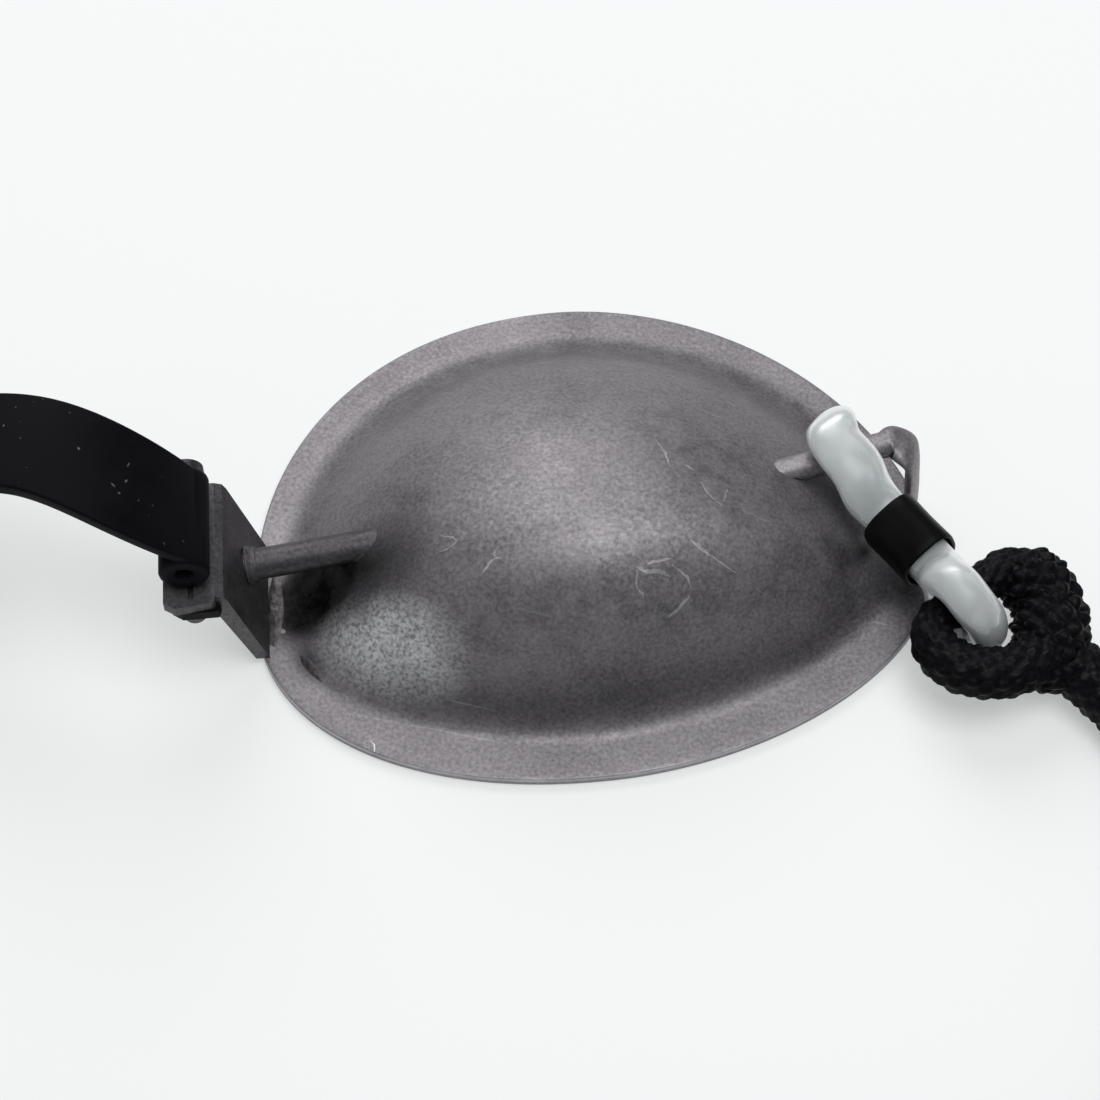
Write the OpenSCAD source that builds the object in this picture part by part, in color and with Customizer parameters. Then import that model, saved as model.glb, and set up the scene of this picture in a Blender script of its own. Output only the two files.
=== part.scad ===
// A pair of metal eye shields on a rubber nose strap and an elastic headband.
// The pair lies on its flanges, domes up. X runs across the pair, Y runs up the face, Z is up.
// Each side is drawn in a side frame: its origin is on the floor below the hinge pin, +X runs
// out to the temple and +Y lies along the pin. The left side is the mirror image of the right.

/* [Eye cup] */
// Thickness of the steel sheet
sheet = 1; // [0.8:0.1:1.4]
// Reach of the flange from the cup's centre towards the nose
nose_reach = 30; // [28:0.5:34]
// Reach of the flange towards the temple
temple_reach = 31.5; // [30:0.5:35]
// Reach of the flange towards the brow
brow_reach = 30; // [27:0.5:33]
// Reach of the flange towards the cheek
cheek_reach = 19; // [18:0.5:23]
// Height of the dome above the flange
dome_height = 13.5; // [12.5:0.5:17]
// Width of the flange at the nose and the temple
brim_ends = 4.2; // [3.4:0.2:5]
// Width of the flange at the brow
brim_brow = 4.9; // [4:0.1:6]
// Width of the flange at the cheek
brim_cheek = 5.8; // [4.8:0.1:6.6]
// Radius of the fold between flange and dome
fold = 2.5; // [2:0.1:3]
// Turn of the cup's long axis against its hinge
cup_turn = 3; // [0:0.5:6]

/* [Nose strap] */
// Distance between the two hinge pins
pin_span = 25; // [22:0.5:30]
// Toe-in of each hinge pin
toe = 16; // [10:1:20]
// Height of the hinge pins
pin_z = 15.2; // [14.6:0.1:17]
// Diameter of the hinge pins
pin_d = 1.5; // [1.2:0.1:1.8]
// Radial clearance of the pins in the strap
pin_clearance = 0.05; // [0.02:0.01:0.1]
// Outer radius of the strap's rolled ends
roll_r = 2.2; // [2:0.1:2.4]
// Length of the rolled ends
roll_w = 9.6; // [9:0.2:10.4]
// Shift of the rolled ends along their pins, towards the cheeks
roll_shift = 0.3; // [0:0.1:0.5]
// Width of the strap at its middle
strap_w = 9.2; // [8:0.2:10]
// Thickness of the strap
strap_t = 1.5; // [1.2:0.1:1.6]
// Rise of the strap above the pins
strap_rise = 8.4; // [6:0.2:11]

/* [Nose bracket] */
// Width of the bracket plate
plate_w = 11.3; // [10:0.1:12]
// Thickness of the bracket plate
plate_t = 1.2; // [1:0.1:1.4]
// Distance from the pin to the outer face of the plate's foot
foot_x = 6; // [5.6:0.1:7]
// Lean of the plate towards the nose
plate_lean = 3; // [2.6:0.1:3.4]
// Gap between the rolled strap and the shelf
roll_gap = 0.3; // [0.2:0.05:0.4]
// Thickness of the lug that holds the pin
lug_t = 1.1; // [0.9:0.1:1.3]
// Diameter of the clamp screw
screw_d = 2.1; // [1.8:0.1:2.3]
// Diameter of the nose post
nose_post_d = 2.8; // [2.4:0.1:3]

/* [Temple loop] */
// Diameter of the temple post
bar_d = 2.4; // [2:0.1:2.5]
// Height of the temple post
bar_z = 7.8; // [7.5:0.1:8.4]
// Length of the temple post outside the dome
bar_len = 9; // [8.6:0.1:9.8]
// Width of the temple leg
leg_w = 4; // [3:0.1:4.4]
// Thickness of the temple leg
leg_t = 1.3; // [1:0.1:1.6]
// Inner width of the ring collar
collar_w = 4.9; // [4.8:0.1:5.2]
// Inner height of the ring collar
collar_h = 5.8; // [5.7:0.1:6.2]
// Wall of the ring collar
collar_wall = 0.4; // [0.3:0.05:0.6]
// Length of the ring collar
collar_len = 5.6; // [4.6:0.1:5.8]

/* [Headband] */
// Diameter of the elastic cord
cord_d = 5.2; // [4.6:0.1:5.2]
// Diameter of the cord where the eye stretches it
eye_d = 3.6; // [3.4:0.1:3.8]

/* [Hidden] */
SIDE_NODES = ["eye_cup", "nose_post", "nose_bracket", "hinge_pin", "clamp_screw", "clamp_pad",
    "temple_post", "temple_leg", "silicone_ring", "ring_collar", "headband_eye", "headband_knot",
    "headband_end", "headband_back"];

$fn = 48;
steel = "#8c888b";
black = "#1b1b1d";
weld = 0.4;          // how deep a brazed end goes into its neighbour

// Curvature of the flange's outline: nose half, temple half
nose_power = 2.13;
temple_power = 1.89;
// Steepness of the dome: towards its edge, at the nose end, at the temple end
edge_power = 2.2;
nose_steep = 0.9;
temple_steep = 0.95;
rays = 60;

cup_x = foot_x - plate_t + nose_reach;
cup_y = -0.5;

// --- the flange and the dome, in polar form about the cup's centre, a in degrees ---

function reach(a, brim) = // distance to the flange's edge (brim 0) or to the dome's foot (brim 1)
    let (c = cos(a), s = sin(a), n = c < 0 ? nose_power : temple_power,
         rx = (c < 0 ? nose_reach : temple_reach) - brim * brim_ends,
         ry = s > 0 ? brow_reach - brim * brim_brow : cheek_reach - brim * brim_cheek)
    pow(pow(abs(c) / rx, n) + pow(abs(s) / ry, n), -1 / n);

function steep(a) = nose_steep + (temple_steep - nose_steep) * pow((1 + cos(a)) / 2, 2);
function eased(d) = d < -fold ? 0 : d > fold ? d : pow(d + fold, 2) / (4 * fold);
function uneased(e) = e > fold ? e : 2 * sqrt(fold * e) - fold;
function height(a, d) = // of the dome at distance d inside its foot
    sheet + dome_height * pow(1 - pow(1 - eased(d) / reach(a, 1), edge_power), steep(a));
function wall_radius(a, z) = // where the dome's outside stands at height z
    let (rho = pow(1 - pow((z - sheet) / dome_height, 1 / steep(a)), 1 / edge_power))
    reach(a, 1) - uneased((1 - rho) * reach(a, 1));
function from_cup(a, r) = // a polar place on the cup in the side frame
    [cup_x + r * cos(a + cup_turn), cup_y + r * sin(a + cup_turn)];

function outer_profile(a) = // [radius, height] from the crown to the rim
    let (foot = reach(a, 1), flank = foot - 2.6 * fold)
    concat([for (f = [0.05, 0.3, 0.55, 0.8, 1]) [f * flank, height(a, foot - f * flank)]],
           [for (f = [1.8, 1.2, 0.7, 0.3, -0.1, -0.5, -1]) [foot - f * fold, height(a, f * fold)]],
           [[reach(a, 0), sheet]]);

function inner_profile(p) = // the same profile one sheet further in, from the rim to the crown
    let (last = len(p) - 1)
    [for (k = [last:-1:0]) k == last ? [p[k][0], 0] :
        let (t = unit(p[k + 1] - p[max(k - 1, 0)])) p[k] + sheet * [t[1], -t[0]]];

// --- lofting ---

function unit(v) = v / norm(v);
function sum(v, i = 0) = i < len(v) - 1 ? v[i] + sum(v, i + 1) : v[i];
function mean(v) = sum(v) / len(v);

// A closed skin through rings of points; open lofts get a point in the middle of each end.
module loft(rings, closed = false) {
    m = len(rings);
    n = len(rings[0]);
    walls = [for (j = [0:m - (closed ? 1 : 2)], i = [0:n - 1])
        let (a = j * n + i, b = j * n + (i + 1) % n, up = (j + 1) % m * n - j * n)
        each [[a, b, b + up], [a, b + up, a + up]]];
    ends = closed ? [] : [for (i = [0:n - 1])
        let (k = (i + 1) % n, top = (m - 1) * n)
        each [[m * n, k, i], [m * n + 1, top + i, top + k]]];
    points = [for (r = rings) each r];
    polyhedron(closed ? points : concat(points, [mean(rings[0]), mean(rings[m - 1])]),
               concat(walls, ends), convexity = 8);
}

// A smooth curve through the knots, with every number of a knot blended alike.
function smooth(p, steps, closed = false) =
    let (n = len(p), last = closed ? n - 1 : n - 2)
    concat([for (i = [0:last], k = [0:steps - 1])
        let (t = k / steps,
             p0 = closed ? p[(i + n - 1) % n] : p[max(i - 1, 0)], p1 = p[i],
             p2 = p[(i + 1) % n], p3 = closed ? p[(i + 2) % n] : p[min(i + 2, n - 1)])
        0.5 * (2 * p1 + (p2 - p0) * t + (2 * p0 - 5 * p1 + 4 * p2 - p3) * t * t
               + (3 * p1 - p0 - 3 * p2 + p3) * t * t * t)],
        closed ? [] : [p[n - 1]]);

// Oval rings across a curve of [x, y, z, width, thickness]; the width lies along `across`.
function tube_rings(p, across, sides, closed = false) =
    let (n = len(p))
    [for (i = [0:n - 1])
        let (before = p[closed ? (i + n - 1) % n : max(i - 1, 0)],
             after = p[closed ? (i + 1) % n : min(i + 1, n - 1)],
             t = unit([for (k = [0:2]) after[k] - before[k]]),
             w = unit(across - (across * t) * t), h = cross(w, t))
        [for (s = [0:sides - 1])
            [for (k = [0:2]) p[i][k]] + w * p[i][3] / 2 * cos(s * 360 / sides)
                + h * p[i][4] / 2 * sin(s * 360 / sides)]];

// --- where things are on a side ---

shelf_z = pin_z - roll_r - roll_gap;           // top of the bracket's shelf
tab_y = -plate_w / 2 - 0.3;                    // near edge of the bracket's shelf
screw_x = 0.25;
screw_y = -5;
post_z = [6.1, 7];                             // the nose post at the plate and at the dome
post_start = [foot_x - plate_lean * (post_z[0] - sheet) / (shelf_z - sheet) - weld, 0.7, post_z[0]];
post_ray = 169;
post_reach = 3;      // how far a post runs on past the dome's wall before it is cut there
post_end = concat(from_cup(post_ray, wall_radius(post_ray, post_z[1]) - post_reach), [post_z[1]]);

bar_ray = 17;
bar_heading = 13.4;
bar_root = concat(from_cup(bar_ray, wall_radius(bar_ray, bar_z)), [bar_z]);
bar_dir = [cos(bar_heading), sin(bar_heading), 0];
bar_end = bar_root + bar_len * bar_dir;
leg_ray = 9.5;
leg_foot = from_cup(leg_ray, reach(leg_ray, 0) - leg_t / 2 - 0.1);

// The silicone ring's plan runs from the post, away from the nose, along ring_heading.
ring_seat = bar_root + 3.8 * bar_dir;
ring_heading = -56;
hook = bar_d / 2 + 1.3 + 0.35;                 // post radius, half of the ring's wall, clearance
pinch_s = 10.1;                                // where the collar holds the two runs together
pinch_z = -1.3;
tube_w = 4.1;
tube_t = 3;
// [along, aside, height above the post, width, thickness]
ring_knots = [
    [0, 0, hook, 4.6, 2.6], [3.9, 0, 2.2, 4.7, 3], [6.4, 0.4, 0, 4.2, 2.4],
    [pinch_s, 0.4, pinch_z + 1.22, 4.3, 2.2], [13.6, 0.4, pinch_z + 1.35, 4.1, 2.3],
    [15.2, -0.1, 0.9, tube_w, 2.8], [16.9, -0.5, 1.4, tube_w, 3], [18.9, -0.5, 0.8, tube_w, tube_t],
    [20.4, -0.1, -0.6, 3.9, tube_t], [20.9, 0.1, -2.5, 3.7, tube_t],
    [20.4, 0, -4.2, 3.7, tube_t], [19, -0.3, -5.3, 3.9, 3], [17.4, -0.4, -5.7, tube_w, 2.8],
    [16, -0.3, -5.6, tube_w, 2.4], [14.6, 0, -4.9, tube_w, 2.2], [13.6, 0.4, pinch_z - 1.4, 4.1, 2.2],
    [pinch_s, 0.4, pinch_z - 1.22, 4.3, 2.2],
    [6.4, 0.4, pinch_z - 1.35, 3.9, 2.2], [3.6, 1.6, -2.7, 3.8, 2.4], [0.5, 2.3, -hook, 3.6, 2.4],
    [-1.8, 2.2, -0.75 * hook, 4, 2.5], [-2.6, 1.9, 0, 4.4, 2.5], [-1.9, 1.1, 0.75 * hook, 4.5, 2.6]];
twist = 20;                                    // of the ring at its collar, about its own length

// The ring's points, turned with their distance from the collar
function twisted(p) =
    let (far = min(1, max(0, abs(p[0] - pinch_s) - 2.8) / 5), a = twist * (1 + cos(180 * far)) / 2,
         y = p[1] - 0.4, z = p[2] - pinch_z)
    [p[0], 0.4 + cos(a) * y - sin(a) * z, pinch_z + sin(a) * y + cos(a) * z];

// The headband's eye: a link through the ring's far end. [along, aside, height, width, thickness]
eye_knots = [
    [18.9, 7.2, 5, 4.4, 4.4], [17.3, 5.8, 5.2, 4.2, 4.2], [17, 3.6, 5.5, 3.6, 3.6],
    [17.2, 0.5, 5.5, eye_d, eye_d], [17.3, -2.8, 5.6, 3.6, 3.6], [19.3, -4.6, 5.7, 4.2, 4.2],
    [22.2, -4.2, 5.8, 4.6, 4.6], [24.6, -1.8, 5.7, 4.6, 4.6], [25.3, 1.2, 5.3, 4.6, 4.6],
    [24.8, 3.8, 4.8, 4.6, 4.6]];
// The knot beside the eye, a lumpy roll in the same terms
knot_knots = [[16.6, 7.2, 4.9, 1.4, 1.4], [17.6, 7.2, 4.8, 5.2, 5], [19.6, 7, 4.6, 6.8, 6.4],
    [21.6, 6.6, 4.5, 6.6, 6.4], [23.6, 5.2, 4.4, 7.4, 7], [25.4, 3.2, 4, 6.4, 6],
    [26.4, 1.4, 3.8, 5, 4.8], [26.8, 0.4, 3.7, 1.4, 1.4]];

// The headband on the floor, right half, in the pair's own frame
band_z = 2.6;
end_route = [[88.8, -4.6, 3.7], [91, -5.9, 3.1], [95, -8.8, band_z], [98.6, -13.6, band_z],
    [100.6, -20.4, band_z], [101.2, -27, band_z], [101.2, -32, band_z], [101.2, -36, band_z]];
back_route = [[101.2, -36.6, band_z], [101.2, -38.8, band_z], [101.2, -41, band_z], [99.4, -46, band_z],
    [95, -50.6, band_z], [88.6, -53.6, band_z], [80, -56, band_z], [65, -59.6, band_z], [45, -63.6, band_z],
    [22, -67.9, band_z], [9, -69.4, band_z], [4, -69.4, band_z], [0, -69.4, band_z]];

// The pair's frame puts the middle of the two flanges at the origin.
rim_y = [for (a = [0:6:354]) let (p = from_cup(a, reach(a, 0))) p[0] * sin(toe) + p[1] * cos(toe)];
pair_y = -(max(rim_y) + min(rim_y)) / 2;

module right() translate([pin_span / 2, pair_y, 0]) rotate(toe) children();
module left() mirror([1, 0, 0]) right() children();
module on_ring() translate(ring_seat) rotate(ring_heading) children();
function on_floor(knots) = [for (k = knots) [k[0], k[1], k[2] - bar_z, k[3], k[4]]];

// --- the pieces of a side ---

module eye_cup() {
    outer = [for (r = [0:rays - 1]) outer_profile(r * 360 / rays)];
    skin = [for (p = outer) concat(p, inner_profile(p))];
    color(steel) loft([for (k = [0:len(skin[0]) - 1])
        [for (r = [0:rays - 1])
            concat(from_cup(r * 360 / rays, skin[r][k][0]), [skin[r][k][1]])]]);
}

// A round bar from one point to another
module rod(from, to, d) {
    v = to - from;
    translate(from) rotate([0, acos(v[2] / norm(v)), atan2(v[1], v[0])]) cylinder(d = d, h = norm(v));
}

// Cuts a post's end along the dome's wall, one weld's depth inside it
module cut_at_wall(ray, z) {
    step = 0.2;
    rise = (wall_radius(ray, z - step) - wall_radius(ray, z + step)) / (2 * step);
    root = concat(from_cup(ray, wall_radius(ray, z)), [z]);
    difference() {
        children();
        translate(root) rotate([0, 90 - atan(rise), ray + cup_turn]) translate([-5, -5, -10 - weld])
            cube(10);
    }
}

module nose_post() {
    collar = post_start + (weld + 0.6) * unit(post_end - post_start);
    color(steel) {
        cut_at_wall(post_ray, post_z[1]) rod(post_start, post_end, nose_post_d);
        rod(post_start, collar, nose_post_d + 0.4);
    }
}

module nose_bracket() {
    under = shelf_z - plate_t;
    far_y = plate_w / 2 - 0.2;
    lug_r = 1.45;
    lug_x = 0.2;
    lug_y = roll_w / 2 - roll_shift + 0.2;
    shelf_end = -2.1;
    color(steel) difference() {
        union() {
            translate([0, far_y, 0]) rotate([90, 0, 0]) linear_extrude(plate_w)
                polygon([[foot_x, sheet], [foot_x - plate_lean + 0.3, shelf_z - 1],
                    [foot_x - plate_lean, shelf_z - 0.3], [foot_x - plate_lean - 0.7, shelf_z],
                    [shelf_end, shelf_z], [shelf_end, under], [foot_x - plate_lean - plate_t - 0.6, under],
                    [foot_x - plate_lean - plate_t + 0.1, under - 0.8], [foot_x - plate_t, sheet]]);
            translate([0, 0, under]) linear_extrude(plate_t)
                polygon([[shelf_end, tab_y + 0.6], [2.25, tab_y + 0.6], [2.25, tab_y - 0.3],
                    [2, tab_y - 0.5], [-1.1, tab_y - 0.9], [shelf_end, tab_y - 0.3]]);
            translate([0, lug_y + lug_t, 0]) rotate([90, 0, 0]) linear_extrude(lug_t) {
                translate([lug_x, pin_z - 0.3]) circle(r = lug_r);
                translate([lug_x - lug_r, under]) square([2 * lug_r, pin_z - 0.3 - under]);
            }
        }
        translate([0, lug_y - 1, pin_z]) rotate([-90, 0, 0]) cylinder(d = pin_d, h = lug_t + 2);
        translate([screw_x, screw_y, under - 1]) cylinder(d = screw_d, h = plate_t + 2);
    }
}

module hinge_pin() {
    near_y = -roll_w / 2 - roll_shift + 1.2;
    color(steel) translate([0, near_y, pin_z]) rotate([-90, 0, 0])
        cylinder(d = pin_d, h = roll_w / 2 - roll_shift + 0.2 + lug_t + 0.2 - near_y);
}

module clamp_screw() {
    slot = 0.45;
    color(steel) translate([screw_x, screw_y, 0]) difference() {
        translate([0, 0, shelf_z - plate_t - 3]) cylinder(d = screw_d, h = plate_t + 3);
        translate([-slot / 2, -screw_d, shelf_z - 0.6]) cube([slot, 2 * screw_d, 1]);
    }
}

module clamp_pad() {
    pad_t = 1.1;
    color(black) translate([0, 0, shelf_z - plate_t - pad_t]) difference() {
        linear_extrude(pad_t)
            polygon([[-1.2, -2.6], [1.1, -2.6], [1.1, tab_y - 0.05], [2.7, tab_y - 0.05],
                [2.5, tab_y - 0.7], [-0.6, tab_y - 0.8], [-1.5, tab_y - 0.2]]);
        translate([screw_x, screw_y, -1]) cylinder(d = screw_d, h = pad_t + 2);
    }
}

module temple_post() {
    color(steel) cut_at_wall(bar_ray, bar_z) rod(bar_root - post_reach * bar_dir, bar_end, bar_d);
}

module temple_leg() {
    leg_across = [0.25, 1, 0];                 // the leg's width runs across the loop
    top = bar_end[2];
    route = [for (p = [
        bar_end - 0.4 * bar_dir, bar_end + 0.6 * bar_dir,
        [(bar_end[0] + leg_foot[0]) / 2 + 0.9, bar_end[1] - 0.7, top - 1],
        [leg_foot[0], leg_foot[1] + 0.8, top / 2], concat(leg_foot, [sheet + 1]),
        concat(leg_foot, [sheet])]) concat(p, [leg_w, leg_t])];
    color(steel) loft(tube_rings(smooth(route, 3), leg_across, 12));
}

module silicone_ring() {
    rings = tube_rings(smooth(ring_knots, 2, true), [0, 1, 0], 12, true);
    color("#dfe3e6", 0.8) on_ring() loft([for (ring = rings) [for (p = ring) twisted(p)]], true);
}

// A rectangle with round corners
module soft_box(w, h, r) {
    square([w - 2 * r, h], center = true);
    square([w, h - 2 * r], center = true);
    for (x = [-1, 1], y = [-1, 1]) translate([x * (w / 2 - r), y * (h / 2 - r)]) circle(r = r);
}

module ring_collar() {
    corner = 1.8;
    color(black) on_ring() translate([pinch_s - collar_len / 2, 0.4, pinch_z])
        rotate([twist, 0, 0]) rotate([90, 0, 90]) linear_extrude(collar_len) difference() {
            soft_box(collar_w + 2 * collar_wall, collar_h + 2 * collar_wall, corner + collar_wall);
            soft_box(collar_w, collar_h, corner);
        }
}

module headband_eye() {
    color(black) on_ring() loft(tube_rings(smooth(on_floor(eye_knots), 3), [0, 0, 1], 10));
}

module headband_knot() {
    color(black) on_ring() loft(tube_rings(smooth(on_floor(knot_knots), 2), [0, 0, 1], 12));
}

// --- the shared pieces ---

function cord(route) = tube_rings(smooth([for (p = route) concat(p, [cord_d, cord_d])], 2), [0, 0, 1], 8);
module headband_end() color(black) loft(cord(end_route));
module headband_back() color(black) loft(cord(back_route));

strap_root_t = strap_t - 0.4;                  // the strap thins where it joins the rolled end

// The strap's centre line, from its middle (t = 0) to the rolled end (t = 1)
function strap_place(t) =
    let (u = abs(t), half = pin_span / 2, wrap = roll_r - strap_root_t / 2 - 0.1,
         a = [0, strap_rise], b = [0.5 * half, strap_rise],
         d = [half + 0.79 * wrap, 0.62 * wrap], c = d + 0.42 * half * [-0.62, 0.79],
         p = pow(1 - u, 3) * a + 3 * u * pow(1 - u, 2) * b + 3 * u * u * (1 - u) * c + pow(u, 3) * d,
         sway = -tan(toe) * p[0] * p[0] / half * (1 - p[0] / half) - roll_shift * u * u)
    [sign(t) * p[0], pair_y + sway, pin_z + p[1]];

strap_section = [[1, -0.4], [1, 0.4], [0.98, 0.85], [0.94, 1], [-0.94, 1], [-0.98, 0.85],
    [-1, 0.4], [-1, -0.4], [-0.98, -0.85], [-0.94, -1], [0.94, -1], [0.98, -0.85]];

module strap_band() {
    steps = 12;
    loft([for (i = [-steps:steps])
        let (t = i / steps, at = strap_place(t), ahead = 0.02,
             run = unit(strap_place(t + ahead) - strap_place(t - ahead)),
             w = unit(cross([0, 0, 1], run)), h = cross(w, run),
             wide = strap_w + (roll_w - 0.1 - strap_w) * t * t,
             thick = strap_t + (strap_root_t - strap_t) * t * t)
        [for (s = strap_section) at + w * wide / 2 * s[0] + h * thick / 2 * s[1]]]);
}

module strap_roll() translate([0, roll_w / 2 - roll_shift, pin_z]) rotate([90, 0, 0])
    cylinder(r = roll_r, h = roll_w);

module strap_bore() translate([0, -roll_w / 2 - roll_shift + 1, pin_z]) rotate([-90, 0, 0])
    cylinder(d = pin_d + 2 * pin_clearance, h = roll_w);

module nose_strap() {
    color(black) difference() {
        union() {
            strap_band();
            right() strap_roll();
            left() strap_roll();
        }
        right() strap_bore();
        left() strap_bore();
    }
}

nose_strap();
right() eye_cup();  // right_eye_cup
left() eye_cup();  // left_eye_cup
right() nose_post();  // right_nose_post
left() nose_post();  // left_nose_post
right() nose_bracket();  // right_nose_bracket
left() nose_bracket();  // left_nose_bracket
right() hinge_pin();  // right_hinge_pin
left() hinge_pin();  // left_hinge_pin
right() clamp_screw();  // right_clamp_screw
left() clamp_screw();  // left_clamp_screw
right() clamp_pad();  // right_clamp_pad
left() clamp_pad();  // left_clamp_pad
right() temple_post();  // right_temple_post
left() temple_post();  // left_temple_post
right() temple_leg();  // right_temple_leg
left() temple_leg();  // left_temple_leg
right() silicone_ring();  // right_silicone_ring
left() silicone_ring();  // left_silicone_ring
right() ring_collar();  // right_ring_collar
left() ring_collar();  // left_ring_collar
right() headband_eye();  // right_headband_eye
left() headband_eye();  // left_headband_eye
right() headband_knot();  // right_headband_knot
left() headband_knot();  // left_headband_knot
headband_end();  // right_headband_end
mirror([1, 0, 0]) headband_end();  // left_headband_end
headband_back();  // right_headband_back
mirror([1, 0, 0]) headband_back();  // left_headband_back
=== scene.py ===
"""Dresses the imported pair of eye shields: finer skins for the domed and soft pieces, materials,
a floor, light and a camera."""

import math

import bpy
import numpy as np
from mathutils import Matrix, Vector, noise


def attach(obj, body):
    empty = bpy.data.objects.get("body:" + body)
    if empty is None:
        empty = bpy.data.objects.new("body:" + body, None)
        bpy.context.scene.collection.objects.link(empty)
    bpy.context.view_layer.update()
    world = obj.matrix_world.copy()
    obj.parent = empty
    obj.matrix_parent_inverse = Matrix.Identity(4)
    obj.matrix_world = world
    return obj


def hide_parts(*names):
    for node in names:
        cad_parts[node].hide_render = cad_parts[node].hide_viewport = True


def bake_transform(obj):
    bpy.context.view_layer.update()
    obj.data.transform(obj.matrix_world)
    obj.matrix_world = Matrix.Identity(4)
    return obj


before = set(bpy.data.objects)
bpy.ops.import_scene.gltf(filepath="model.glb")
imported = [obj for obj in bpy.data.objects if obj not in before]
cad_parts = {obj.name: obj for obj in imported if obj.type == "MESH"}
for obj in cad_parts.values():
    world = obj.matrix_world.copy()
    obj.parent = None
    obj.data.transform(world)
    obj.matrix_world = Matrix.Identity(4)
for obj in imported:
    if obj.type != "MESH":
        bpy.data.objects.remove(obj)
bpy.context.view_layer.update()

MM = 0.001
SIDES = {"right": 1, "left": -1}

# The shapes' numbers, in millimetres, as the part's source has them
TOE = math.radians(16)
PIN = np.array([12.5, -13.6465, 0.0])
PIN_Z, ROLL_R, ROLL_W, ROLL_SHIFT, PIN_R = 15.2, 2.2, 9.6, 0.3, 0.75
STRAP_W, STRAP_T, STRAP_THINS, STRAP_RISE = 9.2, 1.5, 0.4, 8.4
SHEET, DOME, FOLD = 1.0, 13.5, 2.5
NOSE, TEMPLE, BROW, CHEEK = 30.0, 31.5, 30.0, 19.0
BRIM_ENDS, BRIM_BROW, BRIM_CHEEK = 4.2, 4.9, 5.8
NOSE_POWER, TEMPLE_POWER, EDGE_POWER = 2.13, 1.89, 2.2
NOSE_STEEP, TEMPLE_STEEP = 0.9, 0.95
CUP, CUP_TURN = np.array([34.8, -0.5]), math.radians(3)
FOOT_X, PLATE_LEAN, SHELF_Z, WELD = 6, 3, 12.7, 0.4
POST_R, POST_Y, POST_Z, POST_RAY, POST_REACH = 1.4, 0.7, (6.1, 7.0), math.radians(169), 3
BAR_R, BAR_Z, BAR_LEN, BAR_RAY, BAR_HEADING = 1.2, 7.8, 9, math.radians(17), math.radians(13.4)
RING_ALONG, RING_HEADING = 3.8, math.radians(-56)


# ---------------------------------------------------------------- places

def turned(p, angle):
    """The points of p turned about Z."""
    c, s = math.cos(angle), math.sin(angle)
    p = np.asarray(p, float)
    return np.stack([c * p[..., 0] - s * p[..., 1], s * p[..., 0] + c * p[..., 1], p[..., 2]], -1)


def row(p, side):
    """Points in a side's own frame, in millimetres, as points in the row frame, in metres."""
    q = (turned(p, TOE) + PIN) * MM
    if SIDES[side] < 0:
        q[..., 0] *= -1
    return q


def pair(p, side):
    """Points of the pair's right half, in millimetres, as points in the row frame, in metres."""
    q = np.asarray(p, float) * MM
    if SIDES[side] < 0:
        q[..., 0] *= -1
    return q


def reach(a, brim):
    """Distance along ray a from the cup's centre to the flange's edge (brim 0) or the dome's foot (1)."""
    c, s = np.cos(a), np.sin(a)
    n = np.where(c < 0, NOSE_POWER, TEMPLE_POWER)
    rx = np.where(c < 0, NOSE, TEMPLE) - brim * BRIM_ENDS
    ry = np.where(s > 0, BROW - brim * BRIM_BROW, CHEEK - brim * BRIM_CHEEK)
    return ((abs(c) / rx) ** n + (abs(s) / ry) ** n) ** (-1 / n)


def height(a, d):
    """Height of the dome's outside at distance d inside its foot."""
    steep = NOSE_STEEP + (TEMPLE_STEEP - NOSE_STEEP) * ((1 + np.cos(a)) / 2) ** 2
    eased = np.where(d < -FOLD, 0, np.where(d > FOLD, d, (d + FOLD) ** 2 / (4 * FOLD)))
    rise = 1 - np.clip(1 - eased / reach(a, 1), 0, 1) ** EDGE_POWER
    return SHEET + DOME * rise**steep


def from_cup(a, r, z=0.0):
    """A polar place about the cup's centre in the side frame; a in radians."""
    a, r = np.broadcast_arrays(np.asarray(a, float), np.asarray(r, float))
    x = CUP[0] + r * np.cos(a + CUP_TURN)
    y = CUP[1] + r * np.sin(a + CUP_TURN)
    return np.stack([x, y, np.broadcast_to(z, x.shape)], -1)


def on_dome(x, y, lift=0.0):
    """The place over (x, y) of the cup's plan on the outside of dome or flange, in the side frame."""
    a, r = np.arctan2(y, x), np.hypot(x, y)
    return from_cup(a, r, height(a, reach(a, 1) - r) + lift)


def wall_radius(a, z):
    """Distance along ray a from the cup's centre to the dome's outside at height z."""
    steep = NOSE_STEEP + (TEMPLE_STEEP - NOSE_STEEP) * ((1 + math.cos(a)) / 2) ** 2
    rho = (1 - ((z - SHEET) / DOME) ** (1 / steep)) ** (1 / EDGE_POWER)
    foot = float(reach(np.array(a), 1))
    e = (1 - rho) * foot
    d = e if e > FOLD else 2 * math.sqrt(FOLD * e) - FOLD
    return foot - d


BAR_DIR = np.array([math.cos(BAR_HEADING), math.sin(BAR_HEADING), 0.0])
BAR_ROOT = from_cup(BAR_RAY, wall_radius(BAR_RAY, BAR_Z), BAR_Z)
RING_SEAT = BAR_ROOT + RING_ALONG * BAR_DIR


def on_ring(p):
    """Points of the ring's own frame (along, aside, above the post) in the side frame."""
    return turned(p, RING_HEADING) + RING_SEAT


# ---------------------------------------------------------------- meshes

def unit(v):
    return v / np.maximum(np.linalg.norm(v, axis=-1, keepdims=True), 1e-12)


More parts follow.
